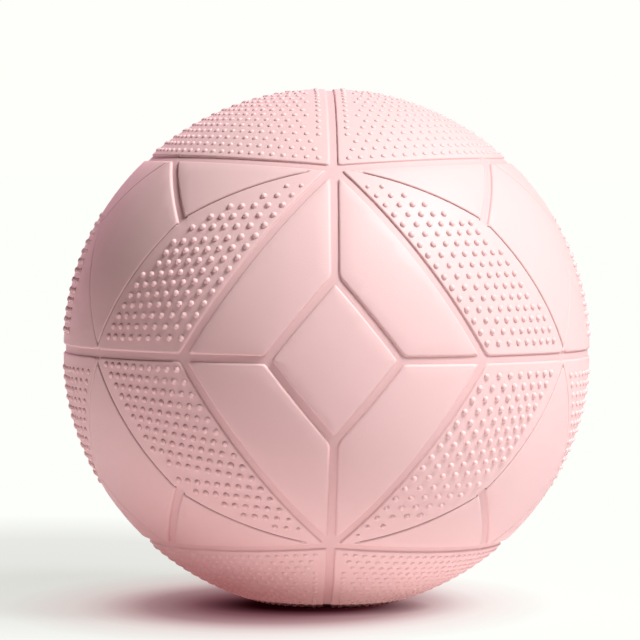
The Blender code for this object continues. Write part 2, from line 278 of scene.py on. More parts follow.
class BallGrooves(bpy.types.PropertyGroup):
    """Channels, creases and recesses of the skin"""

    channel_width: length("Channel width", "Width of a channel's flat floor", 0.0033)
    channel_rim: length("Channel rim", "Width of the rounded edge of a panel beside a channel", 0.0011)
    channel_depth: length("Channel depth", "Depth of a channel below the plain panels", 0.0011)
    channel_blend: length("Channel blend", "Rounding of the panels' corners where channels meet", 0.0004)
    crease_width: length("Crease width", "Width of a crease at its top", 0.0009)
    crease_depth: length("Crease depth", "Depth of a crease below the plain panels", 0.0010)
    roll_width: length("Roll width", "Width of a grip panel's rounded edge beside a crease", 0.0015)
    roll_depth: length("Roll depth", "Depth of a grip panel's rounded edge beside a crease", 0.0007)
    crease_fade: length("Crease fade", "Distance from the star over which a crease fades in", 0.0110)
    leaf_recess: length("Leaf recess", "Depth of the leaf panels below the plain panels", 0.0002)
    side_recess: length("Side recess", "Depth of the side panels below the plain panels", 0.0002)
    cap_recess: length("Cap recess", "Depth of the caps below the plain panels", 0.0002)


class GripDots(bpy.types.PropertyGroup):
    """Raised dots on the leaf, side and cap panels"""

    leaf_radius: length("Leaf radius", "Radius of a leaf panel's dot at its foot", 0.00143)
    leaf_height: length("Leaf height", "Height of a leaf panel's dot", 0.0011)
    side_radius: length("Side radius", "Radius of a side panel's dot at its foot", 0.00135)
    side_height: length("Side height", "Height of a side panel's dot", 0.0008)
    cap_radius: length("Cap radius", "Radius of a cap's dot at its foot", 0.00120)
    cap_height: length("Cap height", "Height of a cap's dot", 0.0006)
    tip_size: share("Tip size", "Size of the dots in a leaf's tip, of the others'", 0.60)
    tip_reach: length("Tip reach", "Distance from the star within which a leaf's dots are smaller", 0.034)
    seat: length("Seat", "How far a dot's foot is set into its panel", 0.0002)
    pitch_drop: length("Pitch drop", "How much closer each dot of a leaf's row is to the last", 0.0003)
    cap_pitch: length("Cap pitch", "Distance between dots along a row of the upper cap", 0.0049)
    cap_step: angle("Cap row step", "Angle between rows on the upper cap", 2.4)
    foot_pitch: length("Foot pitch", "Distance between dots along a row of the lower cap", 0.0041)
    foot_step: angle("Foot row step", "Angle between rows on the lower cap", 2.0)
    cap_first: angle("Cap first row", "Angle of the first row from the edge of the cap", 2.6)
    side_first: angle("Side first row", "Angle of the first row from the equator", 4.2)
    side_step: angle("Side row step", "Angle between rows on the side panels", 2.2)
    side_start: angle("Side start", "First dots of the upper side panels, round from the front", 78.4)
    side_pitch: angle("Side pitch", "Angle between dots along a row of the side panels", 3.15)
    kite_gap: length("Kite gap", "From the middle of the kite's edge to a leaf's first dots", 0.0045)
    crease_gap: length("Crease gap", "Least distance from a dot's middle to a crease", 0.0050)
    cap_column: length("Cap column", "Distance of the cap's straight column from the front line", 0.0058)
    cap_drift: length("Cap drift", "How far each row of the cap starts further out", 0.0016)
    sides: IntProperty(name="Sides", description="Sides of a dot", default=10, min=6)
    rings: IntProperty(name="Rings", description="Rings of faces on a dot", default=4, min=2)


class ValveFit(bpy.types.PropertyGroup):
    """Valve insert in the back diamond"""

    hole_radius: length("Hole radius", "Radius of the hole in the skin", 0.0064)
    hole_rounding: length("Hole rounding", "Rounding of the rim of the hole", 0.0006)
    neck_radius: length("Neck radius", "Radius of the insert where it shows", 0.0060)
    neck_inset: length("Neck inset", "Depth of the insert's face below the skin", 0.0005)
    flange_radius: length("Flange radius", "Radius of the flange inside the ball", 0.0130)
    flange_thickness: length("Flange thickness", "Thickness of the flange", 0.0014)
    barrel_radius: length("Barrel radius", "Radius of the barrel inside the ball", 0.0050)
    insert_length: length("Insert length", "Length of the insert from the skin inwards", 0.0190)
    recess_radius: length("Recess radius", "Radius of the recess for the stopper's head", 0.0045)
    recess_depth: length("Recess depth", "Depth of the recess below the skin", 0.0022)
    bore_radius: length("Bore radius", "Radius of the bore for the stopper's shank", 0.0025)
    seat_gap: length("Seat gap", "Gap between the flange and the inside of the skin", 0.0001)
    edge: length("Edge", "Rounding of the insert's edges", 0.0004)


class StopperFit(bpy.types.PropertyGroup):
    """Push-in stopper that closes the valve"""

    head_radius: length("Head radius", "Radius of the head", 0.0042)
    head_height: length("Head height", "Height of the head", 0.0015)
    head_inset: length("Head inset", "Depth of the head's face below the skin", 0.0004)
    dish_radius: length("Dish radius", "Radius of the shallow dish in the head", 0.0026)
    dish_depth: length("Dish depth", "Depth of the shallow dish in the head", 0.0003)
    shank_radius: length("Shank radius", "Radius of the shank", 0.0019)
    shank_length: length("Shank length", "Length of the shank", 0.0145)
    tip_radius: length("Tip radius", "Radius of the shank at its tip", 0.0013)
    rib_height: length("Rib height", "Height of a rib above the shank", 0.0003)
    rib_width: length("Rib width", "Width of a rib along the shank", 0.0018)
    rib_count: IntProperty(name="Ribs", description="Ribs on the shank", default=3, min=0)
    edge: length("Edge", "Rounding of the head's edges", 0.0004)


class BallFinish(bpy.types.PropertyGroup):
    """Colours and surface of the moulded plastic"""

    skin: colour("Skin", "Pink of the plain panels", (0.80, 0.49, 0.475))
    # Painted shade: the channels' floors are painted a darker pink than the plain panels
    channel: colour("Channel", "Deeper pink of the channels' floors", (0.755, 0.445, 0.435))
    # Painted shade: the bottom of each crease is painted a deep dark colour
    crease: colour("Crease", "Deep colour at the bottom of the creases", (0.21, 0.11, 0.115))
    # Painted light, not wear: the dots are painted a paler pink than the skin, so that they look lit
    dots: colour("Dots", "Paler pink of the dots, which stand out and rub", (0.83, 0.52, 0.505))
    valve: colour("Valve", "Pink of the valve insert", (0.72, 0.41, 0.40))
    stopper: colour("Stopper", "Off-white of the stopper", (0.83, 0.80, 0.77))
    skin_roughness: share("Skin roughness", "Roughness of the skin and the dots", 0.52)
    valve_roughness: share("Valve roughness", "Roughness of the valve insert", 0.45)
    stopper_roughness: share("Stopper roughness", "Roughness of the stopper", 0.38)
    mottle: share("Mottle", "Strength of the slow changes of colour", 0.03)
    grain: length("Grain", "Size of the fine moulded grain", 0.0006)
    grain_depth: length("Grain depth", "Depth of the fine moulded grain", 0.00005)


class BallStage(bpy.types.PropertyGroup):
    """Floor, light and camera"""

    floor: colour("Floor", "Colour of the floor as it lights the ball", (0.64, 0.585, 0.59))
    floor_seen: colour("Floor seen", "Colour of the floor and backdrop in the picture", (0.991, 1.0, 0.956))
    floor_glow: share("Floor glow", "Share of the seen floor's brightness that no shadow takes away", 0.91)
    floor_lit: share("Floor lit", "Colour of the seen floor's part that takes the shadow", 0.06)
    ambient: colour("Ambient", "Light from all round", (0.04, 0.02, 0.022))
    card: brightness("Card", "Brightness of the card under the ball", 0.36)
    card_tint: colour("Card tint", "Colour of the light off the card", (1.0, 0.92, 0.90))
    key: brightness("Key", "Strength of the key light", 5.66)
    key_tint: colour("Key tint", "Colour of the key light", (0.865, 0.988, 1.0))
    key_lon: angle("Key round", "Direction of the key light, round from the front to the right", 61)
    key_lat: angle("Key up", "Direction of the key light, up from the floor", 52.5)
    key_spread: angle("Key spread", "Apparent size of the key light", 22)
    rim: brightness("Rim", "Strength of the rim light", 1.15)
    rim_tint: colour("Rim tint", "Colour of the rim light", (1.0, 0.50, 0.66))
    rim_lon: angle("Rim round", "Direction of the rim light, round from the front to the right", -165)
    rim_lat: angle("Rim up", "Direction of the rim light, up from the floor", 16)
    rim_spread: angle("Rim spread", "Apparent size of the rim light", 50)
    view_lon: angle("View round", "Direction of the camera, round from the front to the right", -1.68)
    view_lat: angle("View up", "Direction of the camera, up from the middle of the ball", 2.42)
    view_roll: angle("View roll", "Turn of the camera about the way it looks", 0.45)
    view_distance: length("View distance", "Distance of the camera from the middle of the ball", 2.07)
    view_focal: number("Focal length", "In millimetres, on a sensor 36 mm wide", 266.2)
    view_right: number("Ball right", "Ball right of the middle of the picture, in widths", 0.0109)
    view_down: number("Ball down", "Ball below the middle of the picture, in widths", 0.0453)


class PilatesBall(bpy.types.PropertyGroup):
    """All the settings of the ball"""

    shape: PointerProperty(type=BallShape)
    pattern: PointerProperty(type=BallPattern)
    grooves: PointerProperty(type=BallGrooves)
    dots: PointerProperty(type=GripDots)
    valve: PointerProperty(type=ValveFit)
    stopper: PointerProperty(type=StopperFit)
    finish: PointerProperty(type=BallFinish)
    stage: PointerProperty(type=BallStage)


def settings():
    """The scene's settings for the ball."""
    return bpy.context.scene.pilates_ball


def radius():
    """Radius of the ball over its plain panels."""
    return settings().shape.diameter / 2


def centre_height():
    """Height of the middle of the ball above the floor."""
    shape = settings().shape
    return radius() * shape.height_ratio * math.sqrt(1 - (shape.patch_radius / radius()) ** 2)


# Directions and lines


def smooth(value):
    """Rises gently from 0 at 0 to 1 at 1."""
    value = np.clip(value, 0, 1)
    return value * value * (3 - 2 * value)


def unit(vectors):
    """The vectors scaled to a length of 1."""
    return vectors / np.linalg.norm(vectors, axis=-1, keepdims=True)


def direction(lon, lat):
    """Unit vectors from angles round from the front and up from the equator."""
    lon, lat = np.broadcast_arrays(np.asarray(lon, float), np.asarray(lat, float))
    return np.stack([np.sin(lon) * np.cos(lat), np.cos(lon) * np.cos(lat), np.sin(lat)], axis=-1)


def angles(points):
    """Angles round from the front and up from the equator of unit vectors."""
    return np.arctan2(points[:, 0], points[:, 1]), np.arcsin(np.clip(points[:, 2], -1, 1))


def arc(start, end, count, bow=0.0):
    """Points along the great circle from start to end, bowed sideways by an angle."""
    between = math.acos(np.clip(start @ end, -1, 1))
    t = np.linspace(0, 1, count)[:, None]
    points = (np.sin((1 - t) * between) * start + np.sin(t * between) * end) / math.sin(between)
    side = unit(np.cross(start, end))
    return unit(points + side * math.tan(bow) * 4 * t * (1 - t))


def nearest(points, line):
    """Distance from each point to a line of points, the way from the line, and the place along it."""
    best = np.full(len(points), np.inf)
    away = np.zeros_like(points)
    place = np.zeros(len(points))
    never_zero = 1e-12
    for index, (a, b) in enumerate(zip(line, line[1:])):
        along = b - a
        t = np.clip((points - a) @ along / (along @ along), 0, 1)
        gap = points - a - t[:, None] * along
        size = np.linalg.norm(gap, axis=1)
        closer = size < best
        best[closer] = size[closer]
        away[closer] = gap[closer]
        place[closer] = (index + t[closer]) / (len(line) - 1)
    return best, away / np.maximum(best, never_zero)[:, None], place


def inside(points, outline):
    """True for points inside a closed outline, both read as angles."""
    x, y = angles(points)
    corner_x, corner_y = angles(outline)
    result = np.zeros(len(points), bool)
    for i in range(len(outline)):
        x0, y0, x1, y1 = corner_x[i - 1], corner_y[i - 1], corner_x[i], corner_y[i]
        if y0 != y1:
            crosses = (y0 > y) != (y1 > y)
            result ^= crosses & (x < x0 + (x1 - x0) * (y - y0) / (y1 - y0))
    return result


# Moulded pattern


def rounding(t):
    """Depth of a rounded edge: 1 at the edge and falling to 0 where the panel is level, at 1."""
    return 1 - np.sqrt(1 - (1 - np.clip(t, 0, 1)) ** 2)


class Relief:
    """Depth of the moulded pattern below the plain panels, over one octant."""

    def __init__(self):
        self.radius = radius()
        self.grooves = settings().grooves
        p = settings().pattern
        self.pattern = p
        star = direction(0, p.star_lat)
        kite_foot = direction(p.kite_lon, 0)
        leaf_corner = direction(p.leaf_lon, p.leaf_lat)
        leaf_foot = direction(p.leaf_foot_lon, p.leaf_foot_lat)
        brow = direction(p.brow_lon, self.cap_latitude(p.brow_lon))
        cheek = direction(p.cheek_lon, p.cheek_lat)
        diamond_side = direction(p.diamond_lon, 0)
        diamond_top = direction(0, p.diamond_lat)
        quarter = math.pi / 2
        side_peak = direction(quarter, p.side_peak_lat)
        side_centre = direction(quarter, 0)
        round_cap = np.linspace(0, quarter, CAP_EDGE_POINTS)

        self.kite_edge = self.line(star, kite_foot, p.kite_bow)
        self.leaf_top = self.line(star, leaf_corner)
        self.leaf_side = self.line(leaf_corner, leaf_foot)
        self.side_edge = np.vstack([self.line(leaf_foot, cheek), self.line(cheek, side_peak)[1:]])
        self.cap_edge = direction(round_cap, self.cap_latitude(round_cap))
        self.equator = self.line(diamond_side, side_centre)
        self.meridian = self.line(diamond_top, direction(0, quarter))
        diamond_edge = self.line(diamond_side, diamond_top)
        slant = self.line(brow, leaf_corner)
        brow_crease = self.line(brow, cheek)
        self.channels = [self.equator, self.meridian, diamond_edge, self.cap_edge, self.kite_edge, slant]
        across_x, across_z = np.array([-1, 1, 1]), np.array([1, 1, -1])
        self.neighbours = [
            diamond_edge * across_x,
            diamond_edge * across_z,
            self.kite_edge * across_x,
            self.kite_edge * across_z,
            self.cap_edge * across_x,
        ]
        self.creases = [self.leaf_top, self.leaf_side, brow_crease, self.side_edge]
        below_foot = direction(p.leaf_foot_lon, 0)
        self.leaf = np.vstack([self.leaf_top, self.leaf_side[1:], below_foot, self.kite_edge[::-1]])
        self.side = np.vstack([self.side_edge, side_centre, below_foot])

    def cap_latitude(self, lon):
        """Latitude of the edge of the cap, which dips to the star on the front line."""
        p = self.pattern
        return p.cap_lat - (p.cap_lat - p.star_lat) * np.maximum(0, 1 - lon / p.cap_dip_lon) ** 2

    def line(self, start, end, bow=0.0):
        """A finely divided line between two corners of the pattern."""
        count = max(3, math.ceil(math.acos(start @ end) * self.radius / LINE_STEP) + 1)
        return arc(start, end, count, bow)

    def channel_field(self, points):
        """Distance of each point outside the walls of the channels, and the way that it grows."""
        blend = self.grooves.channel_blend
        half = self.grooves.channel_width / 2
        limit = 60  # keeps the weights finite
        total = np.zeros(len(points))
        lean = np.zeros_like(points)
        for line in self.channels + self.neighbours:
            gap, away, _ = nearest(points, line)
            weight = np.exp(np.clip((half - gap * self.radius) / blend, -limit, limit))
            total += weight
            lean += weight[:, None] * away
        return -blend * np.log(total), lean / total[:, None]

    def panel_recess(self, points):
        """Depth of the grip panels below the plain panels."""
        g = self.grooves
        lon, lat = angles(points)
        recess = np.where(lat > self.cap_latitude(lon), g.cap_recess, 0.0)
        soft = g.crease_width / 2
        for outline, depth, edges in (
            (self.leaf, g.leaf_recess, (self.leaf_top, self.leaf_side)),
            (self.side, g.side_recess, (self.side_edge,)),
        ):
            gap = np.min([nearest(points, edge)[0] for edge in edges], axis=0) * self.radius
            rolled = g.roll_depth * rounding(gap / g.roll_width)
            own = np.maximum(depth * smooth(gap / soft), rolled)
            recess = np.where(inside(points, outline), own, recess)
        return recess

    def crease_depth(self, points):
        """Depth of the creases below the plain panels."""
        g = self.grooves
        deepest = np.zeros(len(points))
        for line in self.creases:
            gap, _, place = nearest(points, line)
            depth = g.crease_depth * np.maximum(0, 1 - gap * self.radius / (g.crease_width / 2))
            if line is self.leaf_top:
                run = place * math.acos(line[0] @ line[-1]) * self.radius
                depth = depth * smooth(run / g.crease_fade - FADE_START)
            deepest = np.maximum(deepest, depth)
        return deepest

    def depth(self, points):
        """Depth of the surface below the plain panels."""
        g = self.grooves
        field, _ = self.channel_field(points)
        channel = g.channel_depth * rounding(field / g.channel_rim)
        return np.maximum(np.maximum(channel, self.crease_depth(points)), self.panel_recess(points))


# Points and faces of an octant


class OctantPoints:
    """Directions in one octant that keep their distance from each other."""

    def __init__(self, cell):
        self.cell = cell
        self.cells = {}
        self.points = []

    def add(self, points, spacing):
        """Keep each point unless another one, or a mirror plane that it isn't on, is too close."""
        reach = math.ceil(spacing / self.cell)
        on_plane = 1e-6
        for point in points:
            if np.any(point < -on_plane) or np.any((point > on_plane) & (point < spacing / 2)):
                continue
            point = np.where(point < on_plane, 0.0, point)
            home = tuple(int(v) for v in point // self.cell)
            near = product(*[range(h - reach, h + reach + 1) for h in home])
            found = (self.points[i] for key in near for i in self.cells.get(key, ()))
            if all(np.sum((other - point) ** 2) >= spacing * spacing for other in found):
                self.cells.setdefault(home, []).append(len(self.points))
                self.points.append(point)


def stations(line, step, end_step, end_reach, size):
    """Places along a line with its directions across, closer together near its ends."""
    pieces = np.linalg.norm(np.diff(line, axis=0), axis=1) * size
    run = np.concatenate([[0], np.cumsum(pieces)])
    total = run[-1]
    reach = min(end_reach, total / 2)
    close = np.arange(0, reach, end_step)
    middle = np.linspace(reach, total - reach, max(2, math.ceil((total - 2 * reach) / step) + 1))
    places = np.unique(np.concatenate([close, middle, total - close]))

    def along(distances):
        return np.stack([np.interp(distances, run, line[:, axis]) for axis in range(3)], axis=1)

    at = unit(along(places))
    near = 1e-4
    return at, unit(np.cross(unit(along(places + near) - along(places - near)), at))


def beside(relief, lines, offset):
    """Directions at an offset on each side of each line."""
    for line in lines:
        at, across = stations(line, FACE_STEP, END_STEP, END_REACH, relief.radius)
        for side in (1, -1):
            yield unit(at + across * side * offset / relief.radius)


def plane_points(relief):
    """Directions along the edges of an octant, closer together where they cross a groove."""
    rim = relief.grooves.channel_rim
    right, front, top = np.eye(3)
    for start, end in ((front, right), (right, top), (front, top)):
        edge = arc(start, end, EDGE_POINTS)
        field, _ = relief.channel_field(edge)
        crossing = (np.abs(field - rim / 2) < rim * RIM_REACH) | (relief.crease_depth(edge) > 0)
        step = np.where(crossing, CROSSING_STEP, FACE_STEP)
        kept = [0]
        for i in range(1, len(edge)):
            if np.linalg.norm(edge[i] - edge[kept[-1]]) * relief.radius >= step[i]:
                kept.append(i)
        yield edge[kept]


def settle(relief, points, target):
    """Move points to where the channel field has the target value, and drop those that can't reach it."""
    for _ in range(SETTLE_ROUNDS):
        field, lean = relief.channel_field(points)
        strength = np.maximum(np.sum(lean * lean, axis=1), LEAST_LEAN)
        step = np.clip((target - field) / strength, -SETTLE_STEP, SETTLE_STEP)
        points = unit(points + lean * (step / relief.radius)[:, None])
    field, _ = relief.channel_field(points)
    return points[np.abs(field - target) < SETTLE_GAP]


def channel_points(relief):
    """Directions along the channels, in rows over their floors and then over the panels' rounded edges."""
    half = relief.grooves.channel_width / 2
    for row in FLOOR_ROWS:
        for points in beside(relief, relief.channels, half * row):
            yield points[relief.channel_field(points)[0] < 0] if row else points
    for row in RIM_ROWS:
        offset = half + relief.grooves.channel_rim * row
        for points in beside(relief, relief.channels, offset):
            yield settle(relief, points, offset - half)


def crease_points(relief):
    """Directions along the creases and their rolled edges, outside the channels."""
    g = relief.grooves
    offsets = [g.crease_width / 2 * row for row in CREASE_ROWS]
    offsets += [g.roll_width * row for row in ROLL_ROWS]
    for offset in offsets:
        for points in beside(relief, relief.creases, offset):
            yield points[relief.channel_field(points)[0] > g.channel_rim] if offset else points


def hole_points(size):
    """Directions round a quarter of the valve hole, in rings over its rounded rim."""
    valve = settings().valve
    turn = np.linspace(0, math.pi / 2, HOLE_POINTS)
    for row in HOLE_ROWS:
        tilt = (valve.hole_radius + valve.hole_rounding * row) / size
        out, ahead = math.sin(tilt), math.cos(tilt)
        yield np.stack([out * np.cos(turn), np.full(HOLE_POINTS, ahead), out * np.sin(turn)], axis=1)


def octant_points(relief):
    """Directions that the faces of one octant join: grooves first, then the panels between."""
    size = relief.radius
    quarter = math.pi / 2
    closest = CLOSEST_POINTS / size
    chosen = OctantPoints(POINT_CELL / size)
    chosen.add(np.eye(3), 0.0)
    for line in (relief.equator, relief.meridian):
        chosen.add(stations(line, FACE_STEP, PLANE_END_STEP, PLANE_END_REACH, size)[0], closest)
    for points in plane_points(relief):
        chosen.add(points, closest)
    for points in channel_points(relief):
        chosen.add(points, closest)
    for points in crease_points(relief):
        chosen.add(points, closest * CREASE_SPACING)
    for points in hole_points(size):
        chosen.add(points, closest)
    patch = math.asin(settings().shape.patch_radius / size)
    chosen.add(direction(np.linspace(0, quarter, PATCH_POINTS), quarter - patch), closest)
    for row in np.linspace(0, quarter, PANEL_ROWS):
        count = max(2, round(PANEL_ROWS * math.cos(row)))
        chosen.add(direction(np.linspace(0, quarter, count), row), FACE_STEP / size)
    return np.array(chosen.points)


def octant_faces(points):
    """Triangles between directions, found in a flat map that keeps circles round."""
    middle = unit(np.ones(3))
    across = unit(np.array([1.0, -1.0, 0.0]))
    up = np.cross(middle, across)
    flat = np.stack([points @ across, points @ up], axis=1) / (1 + points @ middle)[:, None]
    tolerance = 1e-7
    faces = delaunay_2d_cdt([Vector(p) for p in flat], [], [], 0, tolerance)[2]
    faces = np.array([face for face in faces if len(face) == 3])
    a, b, c = (points[faces[:, i]] for i in range(3))
    outward = np.sum(np.cross(b - a, c - a) * a, axis=1) > 0
    faces[~outward] = faces[~outward][:, ::-1]
    return faces


def place_on_ball(points, depth):
    """Places in the row frame of directions at a depth below the plain panels."""
    placed = points * (radius() - depth)[:, None]
    placed[:, 2] = placed[:, 2] * settings().shape.height_ratio + centre_height()
    return placed


# Meshes


def new_object(name, data):
    """An object at the origin of the scene."""
    made = bpy.data.objects.new(name, data)
    bpy.context.scene.collection.objects.link(made)
    return made


def finish_piece(made, body, slot, *nodes):
    """Tie a finished piece to the frame."""
    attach(made, body)
    if nodes:
        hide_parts(*nodes)


def skin_mesh():
    """Hollow moulded skin with the hole for the valve."""
    relief = Relief()
    valve = settings().valve
    points = octant_points(relief)
    faces = octant_faces(points)
    depth = relief.depth(points)
    # Masks of the painted shade in the channels and the creases
    shares = {
        "channel": rounding(relief.channel_field(points)[0] / relief.grooves.channel_rim),
        "crease": relief.crease_depth(points) / relief.grooves.crease_depth,
    }
    shares["crease"] *= 1 - shares["channel"]
    all_points, all_faces = [], []
    for index, signs in enumerate(OCTANTS):
        all_points.append(place_on_ball(points * signs, depth))
        turned = faces if np.prod(signs) > 0 else faces[:, ::-1]
        all_faces.append(turned + index * len(points))
    places = np.vstack(all_points)
    rim = np.hypot(places[:, 0], places[:, 2] - centre_height())
    drop = valve.hole_rounding / 2 * (1 - smooth((rim - valve.hole_radius) / valve.hole_rounding))
    places[:, 1] -= np.where(places[:, 1] > 0, drop, 0.0)
    places[:, 2] = np.maximum(places[:, 2], 0.0)

    mesh = bpy.data.meshes.new("skin")
    mesh.from_pydata(places.tolist(), [], np.vstack(all_faces).tolist())
    for name, share_of in shares.items():
        mark = mesh.attributes.new(name, "FLOAT", "POINT")
        mark.data.foreach_set("value", np.tile(share_of, len(all_points)))
    bm = bmesh.new()
    bm.from_mesh(mesh)
    bmesh.ops.remove_doubles(bm, verts=bm.verts, dist=WELD_DISTANCE)
    middle = Vector((0, radius(), centre_height()))
    inner = []
    for face in bm.faces:
        place = face.calc_center_median()
        if place.y > 0 and math.hypot(place.x, place.z - middle.z) < valve.hole_radius:
            inner.append(face)
    bmesh.ops.delete(bm, geom=inner, context="FACES")
    add_lining(bm, middle)
    bm.to_mesh(mesh)
    bm.free()
    mesh.shade_smooth()
    return mesh


def add_lining(bm, middle):
    """Join the rim of the valve hole to a smooth inside wall."""
    shape = settings().shape

    def turn_of(vert):
        return math.atan2(vert.co.z - middle.z, vert.co.x)

    rim = sorted((vert for vert in bm.verts if vert.is_boundary), key=turn_of)
    turns = [turn_of(vert) for vert in rim]
    size = radius() - shape.inner_depth
    start = math.asin(settings().valve.hole_radius / size)
    previous = rim
    for ring in range(LINING_RINGS):
        tilt = start + (math.pi - start) * ring / LINING_RINGS
        out, y = size * math.sin(tilt), size * math.cos(tilt)
        current = []
        for turn in turns:
            z = out * math.sin(turn) * shape.height_ratio + centre_height()
            current.append(bm.verts.new((out * math.cos(turn), y, max(z, shape.inner_depth))))
        join_rings(bm, previous, current)
        previous = current
    pole = bm.verts.new((0, -size, centre_height()))
    for a, b in zip(previous, previous[1:] + previous[:1]):
        bm.faces.new((a, b, pole))
    bmesh.ops.recalc_face_normals(bm, faces=bm.faces)


def join_rings(bm, outer, inner):
    """Faces between two rings of as many points."""
    for i in range(len(outer)):
        bm.faces.new((outer[i - 1], outer[i], inner[i], inner[i - 1]))


def rounded(profile, edge):
    """A profile of (radius, height, round?) corners with the marked ones rounded."""
    result = []
    count = len(profile)
    most = 0.45
    for i, (r, h, soft) in enumerate(profile):
        here = Vector((r, h))
        if not soft:
            result.append(here)
            continue
        before = Vector(profile[i - 1][:2]) - here
        after = Vector(profile[(i + 1) % count][:2]) - here
        reach = min(edge, before.length * most, after.length * most)
        a, b = here + before.normalized() * reach, here + after.normalized() * reach
        for step in range(CORNER_STEPS + 1):
            t = step / CORNER_STEPS
            result.append(a.lerp(here, t).lerp(here.lerp(b, t), t))
    return result


def turned_mesh(name, profile, closed):
    """Mesh turned about the valve's axis from (radius, height) points, with heights out from the skin."""
    bm = bmesh.new()
    middle = Vector((0, radius(), centre_height()))
    rings = []
    for r, h in profile:
        ring = []
        for side in range(TURNED_SIDES if r else 1):
            turn = math.tau * side / TURNED_SIDES
            ring.append(bm.verts.new(middle + Vector((r * math.cos(turn), h, r * math.sin(turn)))))
        rings.append(ring)
    pairs = list(zip(rings, rings[1:]))
    if closed:
        pairs.append((rings[-1], rings[0]))
    for a, b in pairs:
        for side in range(TURNED_SIDES):
            places = ((a, side - 1), (a, side), (b, side), (b, side - 1))
            corners = [ring[place % len(ring)] for ring, place in places]
            bm.faces.new(list(dict.fromkeys(corners)))
    bmesh.ops.recalc_face_normals(bm, faces=bm.faces)
    mesh = bpy.data.meshes.new(name)
    bm.to_mesh(mesh)
    bm.free()
    mesh.shade_smooth()
    mesh.set_sharp_from_angle(angle=SHARP_ANGLE)
    return mesh


def valve_profile():
    """Outline of the valve insert."""
    v = settings().valve
    seat_size = radius() - settings().shape.inner_depth - v.seat_gap

    def seat(r):
        return math.sqrt(seat_size ** 2 - r ** 2) - radius()

    flange_floor = seat(v.flange_radius) - v.flange_thickness
    middle = (v.neck_radius + v.flange_radius) / 2
    corners = [
        (v.recess_radius, -v.neck_inset, True),
        (v.neck_radius, -v.neck_inset, True),
        (v.neck_radius, seat(v.neck_radius), False),
        (middle, seat(middle), False),
        (v.flange_radius, seat(v.flange_radius), True),
        (v.flange_radius, flange_floor, True),
        (v.barrel_radius, flange_floor - v.flange_thickness, True),
        (v.barrel_radius, -v.insert_length, True),
        (v.bore_radius, -v.insert_length, True),
        (v.bore_radius, -v.recess_depth, True),
        (v.recess_radius, -v.recess_depth, True),
    ]
    return rounded(corners, v.edge)


def stopper_profile():
    """Outline of the stopper from the middle of its head to its tip."""
    s = settings().stopper
    top = -s.head_inset
    under = top - s.head_height
    corners = [
        (0, top - s.dish_depth, False),
        (s.dish_radius - s.dish_depth, top - s.dish_depth, True),
        (s.dish_radius + s.dish_depth, top, True),
        (s.head_radius, top, True),
        (s.head_radius, under, True),
        (s.shank_radius, under, True),
    ]
    pitch = s.shank_length / (s.rib_count + 1)
    for rib in range(s.rib_count):
        height = under - pitch * (rib + 0.5)
        corners.append((s.shank_radius, height + s.rib_width / 2, True))
        corners.append((s.shank_radius + s.rib_height, height, True))
        corners.append((s.shank_radius, height - s.rib_width / 2, True))
    tip = under - s.shank_length
    corners += [(s.tip_radius, tip, True), (0, tip, False)]
    return rounded(corners, s.edge)


# Nodes


def feed(tree, socket, value):
    """Give a socket a plain value, or link another socket to it."""
    if isinstance(value, bpy.types.NodeSocket):
        tree.links.new(value, socket)
    elif socket.type == "RGBA":
        socket.default_value = (*value, 1.0)
    else:
        socket.default_value = value


def new_node(tree, kind, sockets=None, **values):
    """A node with its own settings, and with sockets fed by name or place."""
    made = tree.nodes.new(kind)
    for name, value in values.items():
        setattr(made, name, value)
    for key, value in (sockets or {}).items():
        feed(tree, made.inputs[key], value)
    return made


# Grip dots


def mirrored_places(span, step):
    """Even places from 0 in steps, so that the last is half a step from the far mirror plane."""
    count = max(0, round(span / step - 0.5))
    return np.arange(count + 1) * span / (count + 0.5)


def clear_of(points, relief, lines, gap):
    """True for points that keep a gap from every line."""
    least = np.min([nearest(points, line)[0] for line in lines], axis=0) * relief.radius
    return least >= gap


def tip_share(relief, points):
    """Size of a leaf's dots, smaller towards its tip at the star."""
    dots = settings().dots
    far = np.arccos(np.clip(points @ relief.kite_edge[0], -1, 1)) * relief.radius / dots.tip_reach
    return dots.tip_size + (1 - dots.tip_size) * np.clip(far * (1 + TIP_HOLD) - TIP_HOLD, 0, 1)


def leaf_dots(relief, signs):
    """Directions of the dots on one leaf panel."""
    dots = settings().dots
    size = relief.radius
    first, step, count, slope, start_pitch, end_pitch = LEAF_ROWS[signs]
    row_end = math.radians(LEAF_ROW_END)
    scan = np.linspace(0, row_end, LEAF_SCAN)
    result = []
    for row in range(count):
        lat = math.radians(first + step * row)
        along = direction(scan, lat)
        good = inside(along, relief.leaf) & clear_of(along, relief, [relief.kite_edge], dots.kite_gap)
        if not good.any():
            continue
        lon = start = scan[np.argmax(good)]
        up = math.degrees(lat)
        lean = slope * min(1.0, up / FULL_SLOPE_LAT) * (1 if up < HALF_SLOPE_LAT else 0.5)
        pitch = start_pitch
        while lon < row_end:
            result.append(direction(lon, lat + lean * (lon - start)))
            lon += pitch / (size * math.cos(lat))
            pitch = max(end_pitch, pitch - dots.pitch_drop)
    result = np.array(result)
    kept = inside(result, relief.leaf)
    room = dots.crease_gap * (TIP_ROOM + (1 - TIP_ROOM) * tip_share(relief, result))
    kept &= clear_of(result, relief, [relief.leaf_top, relief.leaf_side], room)
    return result[kept]


def side_dots(relief, upper):
    """Directions of the dots on a quarter of a side panel. The lower panels are filled further forward."""
    dots = settings().dots
    quarter = math.pi / 2
    scan = np.linspace(relief.pattern.leaf_foot_lon, quarter, SIDE_SCAN)
    result = []
    for row in range(SIDE_ROWS):
        lat = dots.side_first + dots.side_step * row
        along = direction(scan, lat)
        good = inside(along, relief.side) & clear_of(along, relief, [relief.side_edge], dots.crease_gap)
        if upper:
            good &= scan >= dots.side_start + SIDE_TAPER * max(0.0, lat - math.radians(SIDE_TAPER_LAT))
        if good.any():
            start = scan[np.argmax(good)]
            result.append(direction(start + mirrored_places(quarter - start, dots.side_pitch), lat))
    return np.vstack(result)


